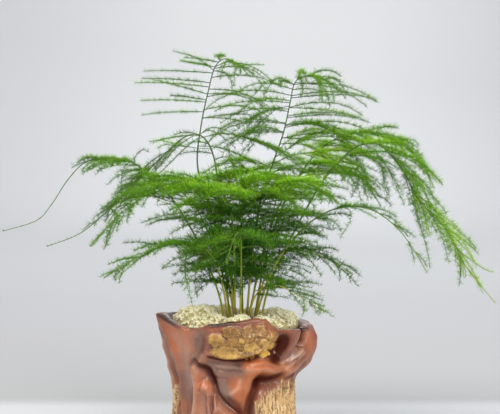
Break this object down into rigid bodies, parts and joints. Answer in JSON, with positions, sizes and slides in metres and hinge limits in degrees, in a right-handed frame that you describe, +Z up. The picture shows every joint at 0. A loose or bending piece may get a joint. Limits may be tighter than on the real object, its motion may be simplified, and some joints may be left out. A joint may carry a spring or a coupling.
{
  "type": "potted asparagus fern",
  "caption": "Asparagus fern with arching wiry canes and feathery needle sprays, in a clay pot moulded like a weathered tree stump, with soil and pale moss tufts.",
  "frame": {"origin": "middle of the pot's flat underside, on the surface it stands on", "axes": "+Z up, +X to the right of the viewer who sees the pot's gold bark patch, -Y towards that viewer"},
  "size_m": [0.3776, 0.2327, 0.2989],
  "materials": {
    "pot_clay": "satin",
    "soil": "matte",
    "moss": "matte",
    "foliage": "satin"
  },
  "bodies": {
    "root": {"pot": "pot_clay", "soil": "soil", "moss_tuft_1": "moss", "moss_tuft_2": "moss", "moss_tuft_3": "moss", "moss_tuft_4": "moss", "moss_tuft_5": "moss", "moss_tuft_6": "moss", "moss_tuft_7": "moss", "moss_tuft_8": "moss", "moss_tuft_9": "moss", "cane_tall_left": "foliage", "cane_tall_right": "foliage", "cane_right_arch": "foliage", "cane_right_far": "foliage", "cane_right_front": "foliage", "cane_left_arch": "foliage", "cane_left_over": "foliage", "cane_shelf_left": "foliage", "cane_shelf_right": "foliage", "cane_low_left": "foliage", "cane_low_right": "foliage", "cane_skirt_right": "foliage", "cane_front": "foliage", "cane_back_left": "foliage", "cane_back_right": "foliage", "cane_back": "foliage", "cane_low_back": "foliage", "cane_heart_left": "foliage", "cane_heart_right": "foliage", "cane_heart": "foliage"}
  },
  "joints": []
}
